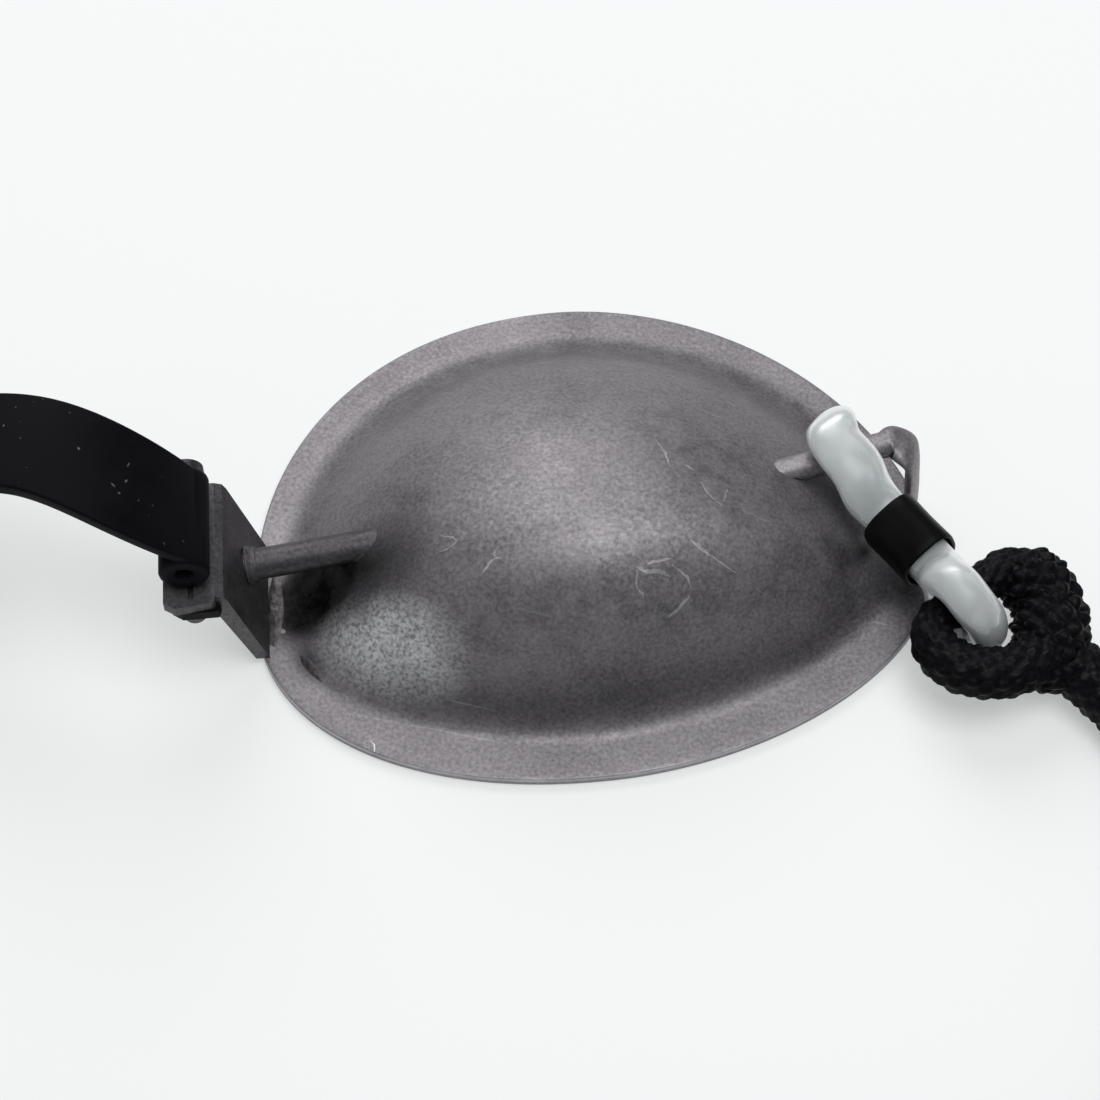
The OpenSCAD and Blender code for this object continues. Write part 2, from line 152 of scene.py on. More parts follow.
def smooth(p, steps, closed=False):
    """A smooth curve through the knots."""
    p = np.asarray(p, float)
    n = len(p)
    t = np.arange(steps)[:, None] / steps
    out = []
    for i in range(n if closed else n - 1):
        p0 = p[(i - 1) % n] if closed else p[max(i - 1, 0)]
        p1, p2 = p[i], p[(i + 1) % n]
        p3 = p[(i + 2) % n] if closed else p[min(i + 2, n - 1)]
        out.append(0.5 * (2 * p1 + (p2 - p0) * t + (2 * p0 - 5 * p1 + 4 * p2 - p3) * t**2
                          + (3 * p1 - p0 - 3 * p2 + p3) * t**3))
    if not closed:
        out.append(p[-1:])
    return np.concatenate(out)


def evenly(p, gap):
    """The points of a polyline placed again about every gap."""
    d = np.r_[0, np.cumsum(np.linalg.norm(np.diff(p[:, :3], axis=0), axis=1))]
    s = np.linspace(0, d[-1], max(2, int(round(d[-1] / gap))) + 1)
    return np.stack([np.interp(s, d, p[:, k]) for k in range(p.shape[1])], -1), s


def skin(rings, closed=False, caps=True):
    """Points and faces of a skin through rings, an array of rings x points x 3."""
    rings = np.asarray(rings, float)
    m, n = rings.shape[:2]
    points = rings.reshape(-1, 3)
    faces = []
    for j in range(m if closed else m - 1):
        k = (j + 1) % m
        for i in range(n):
            a, b = j * n + i, j * n + (i + 1) % n
            faces.append((a, b, k * n + (i + 1) % n, k * n + i))
    if caps and not closed:
        points = np.concatenate([points, rings[0].mean(0)[None], rings[-1].mean(0)[None]])
        for i in range(n):
            k = (i + 1) % n
            faces.append((m * n, k, i))
            faces.append((m * n + 1, (m - 1) * n + i, (m - 1) * n + k))
    return points, faces


def frames(p, across, closed=False):
    """Tangents and the two directions of the sections along a curve."""
    ahead = np.roll(p, -1, 0) - np.roll(p, 1, 0)
    if not closed:
        ahead[0], ahead[-1] = p[1] - p[0], p[-1] - p[-2]
    t = unit(ahead)
    across = np.asarray(across, float)
    w = unit(across - (t @ across)[:, None] * t)
    return t, w, np.cross(w, t)


def tube(p, across, sides, closed=False, relief=None):
    """Rings of a tube over [x, y, z, width, thickness]; relief(s, angle) stands out of it."""
    _, w, h = frames(p[:, :3], across, closed)
    s = np.r_[0, np.cumsum(np.linalg.norm(np.diff(p[:, :3], axis=0), axis=1))]
    a = np.arange(sides) * 2 * math.pi / sides
    rings = (p[:, None, :3] + w[:, None] * (p[:, 3] / 2)[:, None, None] * np.cos(a)[None, :, None]
             + h[:, None] * (p[:, 4] / 2)[:, None, None] * np.sin(a)[None, :, None])
    if relief is not None:
        out = unit(rings - p[:, None, :3])
        rings = rings + out * relief(s[:, None], a[None, :])[..., None]
    return rings


def piece(name, points, faces, look, slot, body=None, stands_for=(), flip=False, uv=None):
    """A mesh piece of the object, points in the row frame in metres."""
    mesh = bpy.data.meshes.new(name)
    if flip:
        faces = [tuple(reversed(f)) for f in faces]
    mesh.from_pydata([tuple(v) for v in points], [], faces)
    mesh.polygons.foreach_set("use_smooth", [True] * len(mesh.polygons))
    if uv is not None:
        layer = mesh.uv_layers.new(name="UVMap")
        corners = np.empty(len(mesh.loops), int)
        mesh.loops.foreach_get("vertex_index", corners)
        layer.data.foreach_set("uv", np.asarray(uv)[corners].astype(np.float32).ravel())
    mesh.validate()
    mesh.update()
    obj = bpy.data.objects.new(name, mesh)
    bpy.context.scene.collection.objects.link(obj)
    mesh.materials.append(look)
    if body:
        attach(obj, body)
    if stands_for:
        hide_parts(*stands_for)
    return obj


def merged(*parts):
    """Several (points, faces) as one."""
    points, faces, base = [], [], 0
    for p, f in parts:
        points.append(np.asarray(p, float))
        faces += [tuple(base + i for i in g) for g in f]
        base += len(p)
    return np.concatenate(points), faces


def mark(obj, name, values):
    """A number for each vertex that the materials read."""
    layer = obj.data.attributes.new(name, "FLOAT", "POINT")
    layer.data.foreach_set("value", np.asarray(values, np.float32))


# ---------------------------------------------------------------- materials

class Look:
    """A node material under construction."""

    def __init__(self, name, color, roughness, metallic=0.0, **extra):
        self.mat = bpy.data.materials.new(name)
        self.mat.use_nodes = True
        self.tree = self.mat.node_tree
        self.bsdf = next(n for n in self.tree.nodes if n.type == "BSDF_PRINCIPLED")
        self.set(**{"Base Color": (*color, 1), "Roughness": roughness, "Metallic": metallic}, **extra)
        self.mat.diffuse_color = (*color, 1)
        self.coords = self.node("ShaderNodeTexCoord").outputs["Object"]
        self.bumps = None

    def set(self, **values):
        for key, value in values.items():
            self.bsdf.inputs[key.replace("_", " ")].default_value = value

    def node(self, kind, **settings):
        n = self.tree.nodes.new(kind)
        for key, value in settings.items():
            setattr(n, key, value)
        return n

    def link(self, a, b):
        self.tree.links.new(a, b)

    def noise(self, scale, detail=3.0, rough=0.55, stretch=None, at=(0, 0, 0)):
        n = self.node("ShaderNodeTexNoise")
        n.inputs["Scale"].default_value = scale
        n.inputs["Detail"].default_value = detail
        n.inputs["Roughness"].default_value = rough
        source = self.coords
        if stretch or any(at):
            m = self.node("ShaderNodeMapping")
            m.inputs["Scale"].default_value = stretch or (1, 1, 1)
            m.inputs["Location"].default_value = at
            self.link(self.coords, m.inputs["Vector"])
            source = m.outputs["Vector"]
        self.link(source, n.inputs["Vector"])
        return n.outputs["Fac"]

    def ramp(self, source, low, high, to=(0.0, 1.0)):
        """source from low..high spread over to, clamped."""
        n = self.node("ShaderNodeMapRange")
        n.inputs["From Min"].default_value, n.inputs["From Max"].default_value = low, high
        n.inputs["To Min"].default_value, n.inputs["To Max"].default_value = to
        self.link(source, n.inputs["Value"])
        return n.outputs["Result"]

    def math(self, how, a, b=None, clamp=False):
        n = self.node("ShaderNodeMath", operation=how, use_clamp=clamp)
        for socket, value in zip(n.inputs, (a, b)):
            if value is None:
                continue
            if isinstance(value, (int, float)):
                socket.default_value = value
            else:
                self.link(value, socket)
        return n.outputs[0]

    def mix(self, factor, a, b):
        """Colour a where factor is 0, b where it is 1; each is a colour or a socket."""
        n = self.node("ShaderNodeMix", data_type="RGBA")
        self.link(factor, n.inputs[0])
        for socket, value in ((n.inputs[6], a), (n.inputs[7], b)):
            if isinstance(value, tuple):
                socket.default_value = (*value, 1)
            else:
                self.link(value, socket)
        return n.outputs[2]

    def mark(self, name):
        return self.node("ShaderNodeAttribute", attribute_name=name).outputs["Fac"]

    def color(self, source):
        self.link(source, self.bsdf.inputs["Base Color"])

    def rough(self, source):
        self.link(source, self.bsdf.inputs["Roughness"])

    def bump(self, source, distance, strength=1.0):
        n = self.node("ShaderNodeBump")
        n.inputs["Distance"].default_value = distance
        n.inputs["Strength"].default_value = strength
        self.link(source, n.inputs["Height"])
        if self.bumps is not None:
            self.link(self.bumps, n.inputs["Normal"])
        self.bumps = n.outputs["Normal"]
        self.link(self.bumps, self.bsdf.inputs["Normal"])


def steel_look(name, dark, light, worn=(0.5, 0.49, 0.5), rough=(0.42, 0.62), marks=False):
    look = Look(name, tuple((d + l) / 2 for d, l in zip(dark, light)), 0.5, 0.85, Specular_IOR_Level=0.5)
    blotch = look.noise(70, 4, 0.6)
    cloud = look.noise(420, 5, 0.65, at=(0.3, 0.1, 0.2))
    pits = look.noise(2900, 2, 0.6)
    tone = look.math("ADD", look.math("MULTIPLY", blotch, 0.3), look.math("MULTIPLY", cloud, 0.25))
    tone = look.math("ADD", tone, look.math("MULTIPLY", pits, 0.45))
    tone = look.ramp(tone, 0.38, 0.62)
    color = look.mix(tone, dark, light)
    if marks:
        # painted shade: this mask darkens the cup towards black where the nose post shades it and the dark
        # bracket is reflected, and along the lower fold; it also holds a real stain by the bracket's foot
        painted_shade_and_stain = look.mark("painted_shade_and_stain")
        painted_shade_and_stain = look.math("MULTIPLY", painted_shade_and_stain, look.ramp(cloud, 0.3, 0.6, (0.7, 1.0)), True)
        color = look.mix(painted_shade_and_stain, color, tuple(0.03 * d for d in dark))
        # painted highlight: a bright speckled patch where a lamp's glint falls on the nose-side flank
        painted_glint = look.math("MULTIPLY", look.mark("painted_glint"), look.ramp(pits, 0.35, 0.6, (0.3, 1)), True)
        painted_glint = look.math("MULTIPLY", painted_glint, look.ramp(cloud, 0.3, 0.6, (0.6, 1)), True)
        color = look.mix(painted_glint, color, (0.8, 0.81, 0.82))
        flecks = look.ramp(look.noise(2100, 3), 0.46, 0.68, (0, 0.22))
        scuff = look.math("MULTIPLY", look.mark("scuff"), flecks, True)
        color = look.mix(scuff, color, worn)
        patchy = look.ramp(look.noise(300, 3), 0.3, 0.55, (0.5, 1))
        rub = look.math("MULTIPLY", look.mark("worn"), patchy, True)
        color = look.mix(rub, color, worn)
    hair = look.noise(60, 2, 0.5, stretch=(1, 60, 12), at=(0.05, 0.2, 0.1))
    color = look.mix(look.ramp(hair, 0.7, 0.76, (0, 0.2)), color, worn)
    look.color(color)
    look.rough(look.ramp(cloud, 0.3, 0.7, rough))
    look.bump(look.noise(2600, 4, 0.7), 0.00004, 0.6)
    look.bump(blotch, 0.0002, 0.25)
    return look.mat


def rubber_look(name, color=(0.003, 0.003, 0.004), rough=(0.42, 0.62), lint=0.0):
    look = Look(name, color, 0.4, 0.0, Specular_IOR_Level=0.05)
    film = look.noise(160, 4, 0.6)
    look.color(look.mix(look.ramp(film, 0.35, 0.7), color, tuple(2.0 * c for c in color)))
    look.rough(look.ramp(film, 0.3, 0.7, rough))
    look.bump(look.noise(3800, 3, 0.6), 0.00003, 0.35)
    if lint:
        specks = look.ramp(look.noise(1500, 1, 0.4, at=(0.4, 0.2, 0.6)), 0.74, 0.8, (0, lint))
        n = look.bsdf.inputs["Base Color"].links[0].from_socket
        look.color(look.mix(specks, n, (0.3, 0.3, 0.3)))
    return look.mat


def silicone_look():
    look = Look("milky_silicone", (0.8, 0.84, 0.84), 0.3, 0.0, Subsurface_Weight=0.55,
                Subsurface_Radius=(1.0, 1.0, 1.0), Subsurface_Scale=0.0015, Transmission_Weight=0.42,
                IOR=1.41, Specular_IOR_Level=0.45)
    haze = look.noise(180, 3, 0.5)
    look.color(look.mix(look.ramp(haze, 0.35, 0.65), (0.66, 0.7, 0.7), (0.8, 0.83, 0.83)))
    look.rough(look.ramp(haze, 0.3, 0.7, (0.26, 0.36)))
    look.bump(look.noise(400, 1, 0.4), 0.00005, 0.1)
    return look.mat


def braid_look():
    look = Look("black_braid", (0.003, 0.003, 0.004), 0.42, 0.0, Specular_IOR_Level=0.08, Sheen_Weight=0.01,
                Sheen_Roughness=0.4)
    threads = look.noise(2600, 3, 0.6)
    look.color(look.mix(look.ramp(threads, 0.35, 0.7), (0.002, 0.002, 0.003), (0.007, 0.007, 0.008)))
    look.rough(look.ramp(look.noise(700, 2), 0.3, 0.7, (0.28, 0.6)))
    look.bump(threads, 0.00005, 0.5)
    return look.mat


STEEL = steel_look("blasted_steel", (0.19, 0.178, 0.186), (0.37, 0.35, 0.362))
CUP_STEEL = steel_look("cup_steel", (0.15, 0.14, 0.149), (0.31, 0.292, 0.306), (0.6, 0.6, 0.61), marks=True)
# painted shade: a darker copy of the same steel for the nose bracket, its post, screw and fillets, which stand
# in shadow
SHADED_STEEL = steel_look("bracket_steel_painted_shade", (0.042, 0.04, 0.043), (0.115, 0.109, 0.114), (0.3, 0.29, 0.3))
SCRATCH = steel_look("bright_steel", (0.42, 0.41, 0.42), (0.75, 0.74, 0.75), rough=(0.25, 0.4))
BRAZE = steel_look("dark_braze", (0.035, 0.032, 0.034), (0.13, 0.122, 0.125), rough=(0.35, 0.55))
RUBBER = rubber_look("strap_rubber", lint=0.5)
COLLAR = rubber_look("collar_rubber", (0.003, 0.003, 0.003), (0.26, 0.4))
SILICONE = silicone_look()
BRAID = braid_look()


# ---------------------------------------------------------------- camera and cords

scene = bpy.context.scene
scene.view_settings.view_transform = "Standard"

camera = bpy.data.objects.new("camera", bpy.data.cameras.new("camera"))
scene.collection.objects.link(camera)
camera.data.sensor_width = 36
camera.data.lens = 93.6
camera.data.clip_start = 0.01
camera.location = (0.06876, -0.12826, 0.2252)
aim = Vector((0.04173, -0.0011, 0.0))
camera.rotation_euler = (aim - camera.location).to_track_quat("-Z", "Y").to_euler()
scene.camera = camera

CORD_D, EYE_D = 5.2, 3.6
BAND_Z = 2.6
END_ROUTE = [[88.8, -4.6, 3.7], [91, -5.9, 3.1], [95, -8.8, BAND_Z], [98.6, -13.6, BAND_Z],
             [100.6, -20.4, BAND_Z], [101.2, -27, BAND_Z], [101.2, -32, BAND_Z], [101.2, -36, BAND_Z]]
BACK_ROUTE = [[101.2, -36, BAND_Z], [101.2, -38.8, BAND_Z], [101.2, -41, BAND_Z], [99.4, -46, BAND_Z],
              [95, -50.6, BAND_Z], [88.6, -53.6, BAND_Z], [80, -56, BAND_Z], [65, -59.6, BAND_Z],
              [45, -63.6, BAND_Z], [22, -67.9, BAND_Z], [9, -69.4, BAND_Z], [4, -69.4, BAND_Z],
              [0, -69.4, BAND_Z]]
EYE_KNOTS = [[18.9, 7.2, 5, 4.4, 4.4], [17.3, 5.8, 5.2, 4.2, 4.2], [17, 3.6, 5.5, 3.6, 3.6],
             [17.2, 0.5, 5.5, EYE_D, EYE_D], [17.3, -2.8, 5.6, 3.6, 3.6], [19.3, -4.6, 5.7, 4.2, 4.2],
             [22.2, -4.2, 5.8, 4.6, 4.6], [24.6, -1.8, 5.7, 4.6, 4.6], [25.3, 1.2, 5.3, 4.6, 4.6],
             [24.8, 3.8, 4.8, 4.6, 4.6]]
KNOT_KNOTS = [[16.6, 7.2, 4.9, 1.4, 1.4], [17.6, 7.2, 4.8, 5.2, 5], [19.6, 7, 4.6, 6.8, 6.4],
              [21.6, 6.6, 4.5, 6.6, 6.4], [23.6, 5.2, 4.4, 7.4, 7], [25.4, 3.2, 4, 6.4, 6],
              [26.4, 1.4, 3.8, 5, 4.8], [26.8, 0.4, 3.7, 1.4, 1.4]]


def braid(depth, strands=9, pitch=6.2):
    """Relief of a round braid, depth deep: ridges that cross and dip under each other."""
    def relief(s, a):
        u = strands * a / (2 * math.pi) + s / pitch * strands / 3
        v = strands * a / (2 * math.pi) - s / pitch * strands / 3
        over = 0.5 + 0.5 * np.sin(math.pi * (u + v)) * np.sin(math.pi * (u - v))
        ridge = over * abs(np.cos(math.pi * u)) + (1 - over) * abs(np.cos(math.pi * v))
        return depth * (ridge - 0.75)
    return relief


def rope(name, route, side, depth, gap, sides, place, **where):
    """A braided length along a route; returns the piece and its centreline in the row frame."""
    p, _ = evenly(smooth(route, 6), gap)
    rings = tube(p, (0, 0, 1), sides, relief=braid(depth))
    points, faces = skin(rings)
    obj = piece(name, place(points, side), faces, BRAID, "elastic_cord", flip=SIDES[side] < 0, **where)
    return obj, place(p[:, :3], side)


def on_floor(knots):
    """Knots whose heights are above the floor, in the ring's own frame."""
    return [[x, y, z - BAR_Z, *size] for x, y, z, *size in knots]


def ring_place(points, side):
    return row(on_ring(points), side)


for side in SIDES:
    eye, _ = rope(f"{side}_eye_braid", on_floor(EYE_KNOTS), side, 0.5, 0.3, 44, ring_place,
                  body=f"{side}_ring", stands_for=[f"{side}_headband_eye"])
    knot, _ = rope(f"{side}_knot_braid", on_floor(KNOT_KNOTS), side, 0.9, 0.25, 56, ring_place,
                   body=f"{side}_ring", stands_for=[f"{side}_headband_knot"])
    end, line = rope(f"{side}_headband_end_braid", [[*p, CORD_D, CORD_D] for p in END_ROUTE],
                     side, 0.5, 0.35, 44, pair, stands_for=[f"{side}_headband_end"])
    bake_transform(end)
    back, line = rope(f"{side}_headband_back_braid", [[*p, CORD_D, CORD_D] for p in BACK_ROUTE],
                      side, 0.5, 0.5, 32, pair, stands_for=[f"{side}_headband_back"])
    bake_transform(back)


# ---------------------------------------------------------------- the cup

def cup_skin(rays=240):
    """Rings of the cup's skin, from the crown's outside over the rim to the crown's inside."""
    a = np.arange(rays) * 2 * math.pi / rays
    foot = reach(a, 1)
    rim = reach(a, 0)
    flank = foot - 2.6 * FOLD
    radii = [f * flank for f in np.r_[0.015, np.linspace(0.06, 1, 24)]]
    radii += [foot - f * FOLD for f in np.arange(2.4, -1.01, -0.2)]
    radii += [foot + FOLD + f * (rim - 0.22 - foot - FOLD) for f in (0.4, 0.8, 1.0)]
    outer = np.stack([np.stack([r, height(a, foot - r)], -1) for r in radii])
    step = np.gradient(outer, axis=0)
    normal = unit(np.stack([-step[..., 1], step[..., 0]], -1))
    inner = outer - SHEET * normal
    inner[..., 1] = np.maximum(inner[..., 1], 0)
    edge = [(rim - 0.07, SHEET - 0.03), (rim - 0.015, SHEET - 0.1), (rim, SHEET - 0.22), (rim, 0.5 * SHEET),
            (rim, 0.22), (rim - 0.015, 0.1), (rim - 0.07, 0.03)]
    edge = np.stack([np.stack([r, np.full_like(r, z)], -1) for r, z in edge])
    profile = np.concatenate([outer, edge, inner[::-1]])
    rings = from_cup(a[None, :], profile[..., 0], profile[..., 1])
    marks = np.concatenate([np.zeros(len(outer)), [0.35, 0.8, 0.6, 0.1, 0, 0.15, 0.1], np.zeros(len(outer))])
    return rings, np.repeat(marks, rays)


def near(points, center, radii, angle=0.0):
    """1 at the centre of an ellipse in the cup's plan, 0 at its edge and beyond."""
    d = points - np.array(center)
    c, s = math.cos(angle), math.sin(angle)
    q = np.hypot((c * d[:, 0] + s * d[:, 1]) / radii[0], (c * d[:, 1] - s * d[:, 0]) / radii[1])
    return np.clip(1 - q, 0, 1)


for side in SIDES:
    rings, edge = cup_skin()
    points, faces = skin(rings)
    edge = np.r_[edge, 0, 0]
    plan = turned(points - np.r_[CUP, 0], -CUP_TURN)[:, :2]
    cup = piece(f"{side}_cup_shell", row(points, side), faces, CUP_STEEL, "steel", f"{side}_cup",
                [f"{side}_eye_cup"], flip=SIDES[side] < 0, uv=plan / 80 + 0.5)
    mark(cup, "worn", edge)
    # painted highlight: where the bright speckled patch lies on the nose-side flank
    mark(cup, "painted_glint", np.clip(1.5 * near(plan, (-18.4, -6.1), (8, 3.8), -0.5), 0, 1))
    # painted shadow and painted reflection of the dark bracket on the dome under the nose post; the stain on
    # the next line is a real mark
    dark = np.maximum(3 * near(plan, (-24.4, 1.2), (5.6, 4.4), 0.2), near(plan, (-20.5, 0.6), (9, 5)))
    stain = 0.8 * near(plan, (-25.6, -5), (2.6, 1.6), -1)
    a, r = np.arctan2(plan[:, 1], plan[:, 0]), np.hypot(plan[:, 0], plan[:, 1])
    # painted shade: a dark band along the lower fold of the dome
    fold = 0.4 * np.exp(-(((reach(a, 1) - r - 0.6) / 1.9) ** 2)) * np.clip(1.6 * np.cos(a + 1.5), 0, 1)
    mark(cup, "painted_shade_and_stain", np.clip(np.maximum(np.maximum(dark, stain), fold), 0, 1))
    rubbed = np.maximum(near(plan, (5, -2.5), (10, 8)), near(plan, (-8, 1), (9, 6)))
    mark(cup, "scuff", np.clip(2 * rubbed, 0, 1))


def ribbon(route, width, seed):
    """A shallow bright scratch that lies on the cup along a route in its plan, thin at both ends."""
    p, s = evenly(smooth(np.array(route, float), 6), 0.15)
    t = s / s[-1]
    run = unit(np.gradient(p, axis=0))
    across = np.stack([-run[:, 1], run[:, 0]], -1)
    rough = np.array([noise.noise(Vector((seed, 3.0 * q, 0.0))) for q in s])
    half = width / 2 * np.sqrt(np.clip(np.sin(math.pi * t), 0.05, 1)) * (1 + 0.7 * rough)
    p = p + across * (0.12 * rough)[:, None]
    left, right = p + across * half[:, None], p - across * half[:, None]
    lift = 0.012
    points = np.concatenate([on_dome(*left.T, lift), on_dome(*right.T, lift)])
    n = len(p)
    return points, [(i + 1, i, n + i, n + i + 1) for i in range(n - 1)]


# Scratches and scuffs: routes in the cup's plan and their widths
SCRATCHES = {
    "right": [
        ([(-27.8, -1.1), (-27.65, -1.6)], 0.5),
        ([(-13.1, 0.5), (-11.8, -0.3), (-12.2, -0.9), (-13.4, -1.0)], 0.16),
        ([(-8.3, -2.0), (-8.7, -2.5), (-8.5, -2.9)], 0.16),
        ([(-8.1, -3.0), (-9.0, -3.1), (-9.9, -3.9)], 0.2),
        ([(3.2, -5.1), (4.0, -5.5), (5.0, -5.5), (6.1, -5.9)], 0.34),
        ([(3.3, -5.4), (3.1, -6.3), (3.7, -7.3)], 0.2), ([(4.2, -5.0), (5.5, -4.7), (6.4, -4.6)], 0.24),
        ([(5.6, -8.4), (6.6, -7.9), (7.7, -7.1)], 0.2), ([(6.3, -5.0), (7.4, -5.8), (7.9, -6.6)], 0.16),
        ([(8.2, -3.1), (9.0, -3.8), (9.8, -4.3)], 0.3), ([(9.7, -4.2), (10.9, -4.9), (12.0, -5.4)], 0.14),
        ([(-20.9, -13.1), (-20.6, -13.5), (-20.7, -14.2)], 0.18),
        ([(9.8, 2.6), (10.4, 1.2), (11.6, -0.2)], 0.16), ([(8.6, 4.4), (9.6, 3.6)], 0.2),
        ([(6.6, 7.2), (7.2, 5.6), (7.4, 4.0)], 0.22), ([(12.2, 1.9), (11.6, 0.4)], 0.18)],
    "left": [
        ([(-6.0, 6.2), (-4.8, 5.1), (-4.1, 3.4)], 0.2), ([(8.2, -6.4), (9.6, -5.9), (10.4, -4.8)], 0.26),
        ([(2.1, -9.0), (3.2, -9.4), (4.4, -9.2)], 0.2), ([(-15.2, 2.0), (-14.1, 1.1)], 0.16),
        ([(14.0, 8.5), (13.2, 7.0), (13.4, 5.8)], 0.2), ([(5.5, 13.2), (6.9, 12.6)], 0.18)],
}

for side in SIDES:
    parts = [ribbon(route, width, 7.3 * k) for k, (route, width) in enumerate(SCRATCHES[side])]
    points, faces = merged(*parts)
    piece(f"{side}_cup_scratches", row(points, side), faces, SCRATCH, "steel", f"{side}_cup",
          flip=SIDES[side] < 0)


def dome_normal(place):
    """The dome's outward normal at a place of the side frame on its outside."""
    x, y, _ = turned(place - np.r_[CUP, 0], -CUP_TURN)
    e = 0.05
    ax = on_dome(np.array(x + e), np.array(y)) - on_dome(np.array(x - e), np.array(y))
    ay = on_dome(np.array(x), np.array(y + e)) - on_dome(np.array(x), np.array(y - e))
    return unit(np.cross(ax, ay))


def bead(root, along, normal, radius, spread, length, seed):
    """A brazed fillet round a bar: it leaves the wall broad and runs out along the bar."""
    n = 40
    a = np.arange(n) * 2 * math.pi / n
    rings = []
    for k in np.linspace(0, 1, 9):
        axis = unit((1 - k) * normal + k * along)
        u = unit(np.cross(axis, [0.0, 0.0, 1.0]))
        v = np.cross(u, axis)
        r = radius - 0.03 + (spread + 0.05) * (1 - k) ** 2.2
        lump = np.array([noise.noise(Vector((math.cos(q) * 1.3 + seed, math.sin(q) * 1.3, 2.0 * k)))
                         for q in a])
        r = r * (1 + 0.12 * (1 - k) * lump)
        center = root - 0.25 * normal + along * (0.25 + length) * k
        rings.append(center + (u * np.cos(a)[:, None] + v * np.sin(a)[:, None]) * r[:, None])
    return skin(rings[::-1])


POST_START = np.array([FOOT_X - PLATE_LEAN * (POST_Z[0] - SHEET) / (SHELF_Z - SHEET) - WELD, POST_Y, POST_Z[0]])
POST_DIR = unit(from_cup(POST_RAY, wall_radius(POST_RAY, POST_Z[1]) - POST_REACH, POST_Z[1]) - POST_START)
POST_WALL = from_cup(POST_RAY, wall_radius(POST_RAY, POST_Z[1]), POST_Z[1])
POST_WALL = POST_START + POST_DIR * float((POST_WALL - POST_START) @ POST_DIR)
PLATE_WALL = POST_START + 0.5 * POST_DIR

# the fillets take the darker copy of the steel, which is painted shade
for side in SIDES:
    points, faces = merged(bead(POST_WALL, -POST_DIR, dome_normal(POST_WALL), POST_R, 0.45, 0.9, 1.0),
                           bead(PLATE_WALL, POST_DIR, POST_DIR, 1.6, 0.35, 0.7, 5.0),
                           bead(BAR_ROOT, BAR_DIR, dome_normal(BAR_ROOT), BAR_R, 0.35, 0.5, 9.0))
    piece(f"{side}_post_fillets", row(points, side), faces, SHADED_STEEL, "steel", f"{side}_cup",
          flip=SIDES[side] < 0)


def puddle(center, radii, angle, tall, seed, n=40):
    """A low, uneven run of braze on the cup, thin at its edge."""
    grid = []
    for r in np.linspace(0, 1, 14):
        for q in np.arange(n) * 2 * math.pi / n:
            edge = 1 + 0.22 * noise.noise(Vector((math.cos(q) * 1.6 + seed, math.sin(q) * 1.6, 0.0)))
            x, y = r * edge * radii[0] * math.cos(q), r * edge * radii[1] * math.sin(q)
            x, y = math.cos(angle) * x - math.sin(angle) * y, math.sin(angle) * x + math.cos(angle) * y
            lump = 1 + 0.55 * noise.noise(Vector((0.9 * x + seed, 0.9 * y, 1.0)))
            lump += 0.25 * noise.noise(Vector((2.6 * x + seed, 2.6 * y, 4.0)))
            grid.append((center[0] + x, center[1] + y, tall * lump * max(0.0, 1 - r**2) ** 0.7 - 0.02 * r))
    g = np.array(grid).reshape(14, n, 3)
    return skin(on_dome(g[..., 0], g[..., 1], g[..., 2]), caps=False)


for side in SIDES:
    points, faces = merged(puddle((-25.5, -5.4), (1.6, 0.45), -1, 0.08, 2.0),
                           puddle((-28.2, 1.0), (4.2, 0.8), 1.45, 0.2, 6.0))
    piece(f"{side}_foot_braze", row(points, side), faces, BRAZE, "steel", f"{side}_cup",
          flip=SIDES[side] < 0)


BAR_END = BAR_ROOT + BAR_LEN * BAR_DIR
LEG_W, LEG_T, LEG_RAY = 4.0, 1.3, math.radians(9.5)
LEG_FOOT = from_cup(LEG_RAY, float(reach(np.array(LEG_RAY), 0)) - LEG_T / 2 - 0.1, SHEET)

for side in SIDES:
    route = np.array([BAR_END - 0.4 * BAR_DIR, BAR_END + 0.6 * BAR_DIR,
                      [(BAR_END[0] + LEG_FOOT[0]) / 2 + 0.9, BAR_END[1] - 0.7, BAR_Z - 1],
                      [LEG_FOOT[0], LEG_FOOT[1] + 0.8, BAR_Z / 2], LEG_FOOT + [0, 0, 1], LEG_FOOT])
    route = np.c_[route, [2.2, 3.3, LEG_W, LEG_W, LEG_W, LEG_W], [2.0, 1.7, LEG_T, LEG_T, LEG_T, LEG_T]]
    points, faces = skin(tube(smooth(route, 10), (0.25, 1, 0), 28))
    piece(f"{side}_temple_strip", row(points, side), faces, STEEL, "steel", f"{side}_cup",
          [f"{side}_temple_leg"], flip=SIDES[side] < 0)


# ---------------------------------------------------------------- the nose strap

def strap_line(t):
    """The strap's centre line, from its middle (t = 0) to the rolled end (t = 1)."""
    u, half = abs(t), PIN[0]
    root = STRAP_T - STRAP_THINS
    wrap = ROLL_R - root / 2 - 0.1
    off = (0.79, 0.62)  # the way from the pin's axis to where the strap leaves its roll
    a, b = np.array([0, STRAP_RISE]), np.array([0.5 * half, STRAP_RISE])
    d = np.array([half + off[0] * wrap, off[1] * wrap])
    c = d + 0.42 * half * np.array([-off[1], off[0]])
    p = (1 - u) ** 3 * a + 3 * u * (1 - u) ** 2 * b + 3 * u * u * (1 - u) * c + u**3 * d
    sway = -math.tan(TOE) * p[0] * p[0] / half * (1 - p[0] / half)
    x = math.copysign(1, t) * p[0] if t else 0.0
    return np.array([x, PIN[1] + sway - ROLL_SHIFT * u * u, PIN_Z + p[1]])


